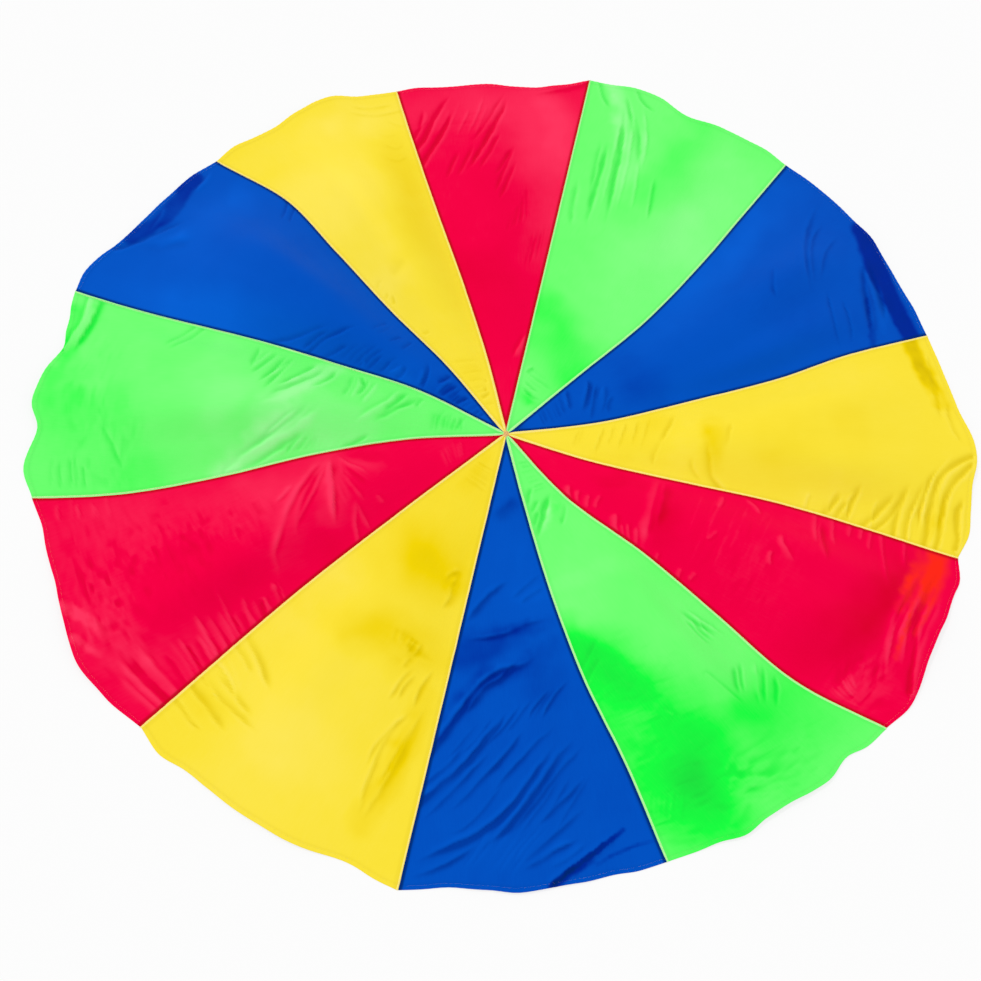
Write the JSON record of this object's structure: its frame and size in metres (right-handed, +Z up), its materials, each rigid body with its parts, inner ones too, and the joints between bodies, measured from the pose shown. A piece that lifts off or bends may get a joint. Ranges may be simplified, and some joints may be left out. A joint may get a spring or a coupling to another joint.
{
  "type": "play parachute",
  "caption": "Round play parachute of sewn triangular cloth gores in four colours, spread on a floor, with a turned hem, stitched seams and a fold line across the middle.",
  "frame": {"origin": "underside of the crown tack, where all seams meet, on the floor", "axes": "+Z up off the floor; +Y from the crown along the straight seam at the far side; the fold line runs along Y"},
  "size_m": [3.6412, 3.7371, 0.1429],
  "materials": {
    "cloth_red": "woven nylon taffeta, satin",
    "cloth_green": "woven nylon taffeta, satin",
    "cloth_blue": "woven nylon taffeta, satin",
    "cloth_yellow": "woven nylon taffeta, satin",
    "thread": "overlocked and lockstitched polyester thread, matt"
  },
  "bodies": {
    "right_half": {"crown_tack": "thread", "gore_02_green": "cloth_green", "gore_03_blue": "cloth_blue", "gore_04_yellow": "cloth_yellow", "gore_05_red": "cloth_red", "gore_06_green": "cloth_green", "gore_07_blue": "cloth_blue", "seam_thread_02": "thread", "seam_thread_03": "thread", "seam_thread_04": "thread", "seam_thread_05": "thread", "seam_thread_06": "thread", "seam_thread_07": "thread", "seam_thread_08": "thread", "hem_thread_right": "thread"},
    "left_half": {"gore_01_red": "cloth_red", "gore_08_yellow": "cloth_yellow", "gore_09_red": "cloth_red", "gore_10_green": "cloth_green", "gore_11_blue": "cloth_blue", "gore_12_yellow": "cloth_yellow", "seam_thread_01": "thread", "seam_thread_09": "thread", "seam_thread_10": "thread", "seam_thread_11": "thread", "seam_thread_12": "thread", "hem_thread_left": "thread"}
  },
  "joints": [
    {"name": "fold_in_half", "type": "hinge", "parent": "right_half", "child": "left_half", "pos_m": [-0.00325, 0, 0.0023], "axis": [0, 1, 0], "range_deg": [0, 165]}
  ]
}
